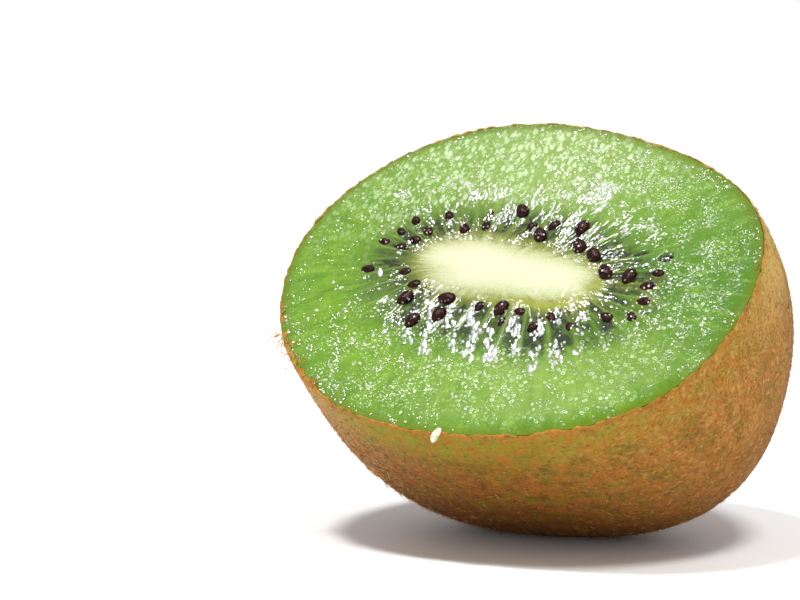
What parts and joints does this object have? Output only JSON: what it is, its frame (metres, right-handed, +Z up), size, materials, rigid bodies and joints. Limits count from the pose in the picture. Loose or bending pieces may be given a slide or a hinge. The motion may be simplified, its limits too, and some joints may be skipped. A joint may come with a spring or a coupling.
{
  "type": "sliced kiwi",
  "caption": "Half of a green kiwifruit in its fuzzy brown skin, cut across, resting on its side with the wet seeded face up.",
  "frame": {"origin": "centre of the bounding box at the level that the fruit rests on", "axes": "+Z up; -Y is the side that the tilted cut face looks towards; +X to the right of someone facing the cut, along the fruit's broad way"},
  "size_m": [0.0522, 0.046, 0.0433],
  "materials": {
    "flesh": "wet green fruit flesh, streaked from the core outwards, with a film of juice",
    "core": "moist cream-white pith, feathering into the green",
    "skin": "dull thin brown rind with fine orange-brown fuzz",
    "seed": "shiny brown-black, finely pitted",
    "juice": "clear wet beads of juice"
  },
  "bodies": {
    "root": {"flesh": "flesh", "core": "core"}
  },
  "joints": []
}
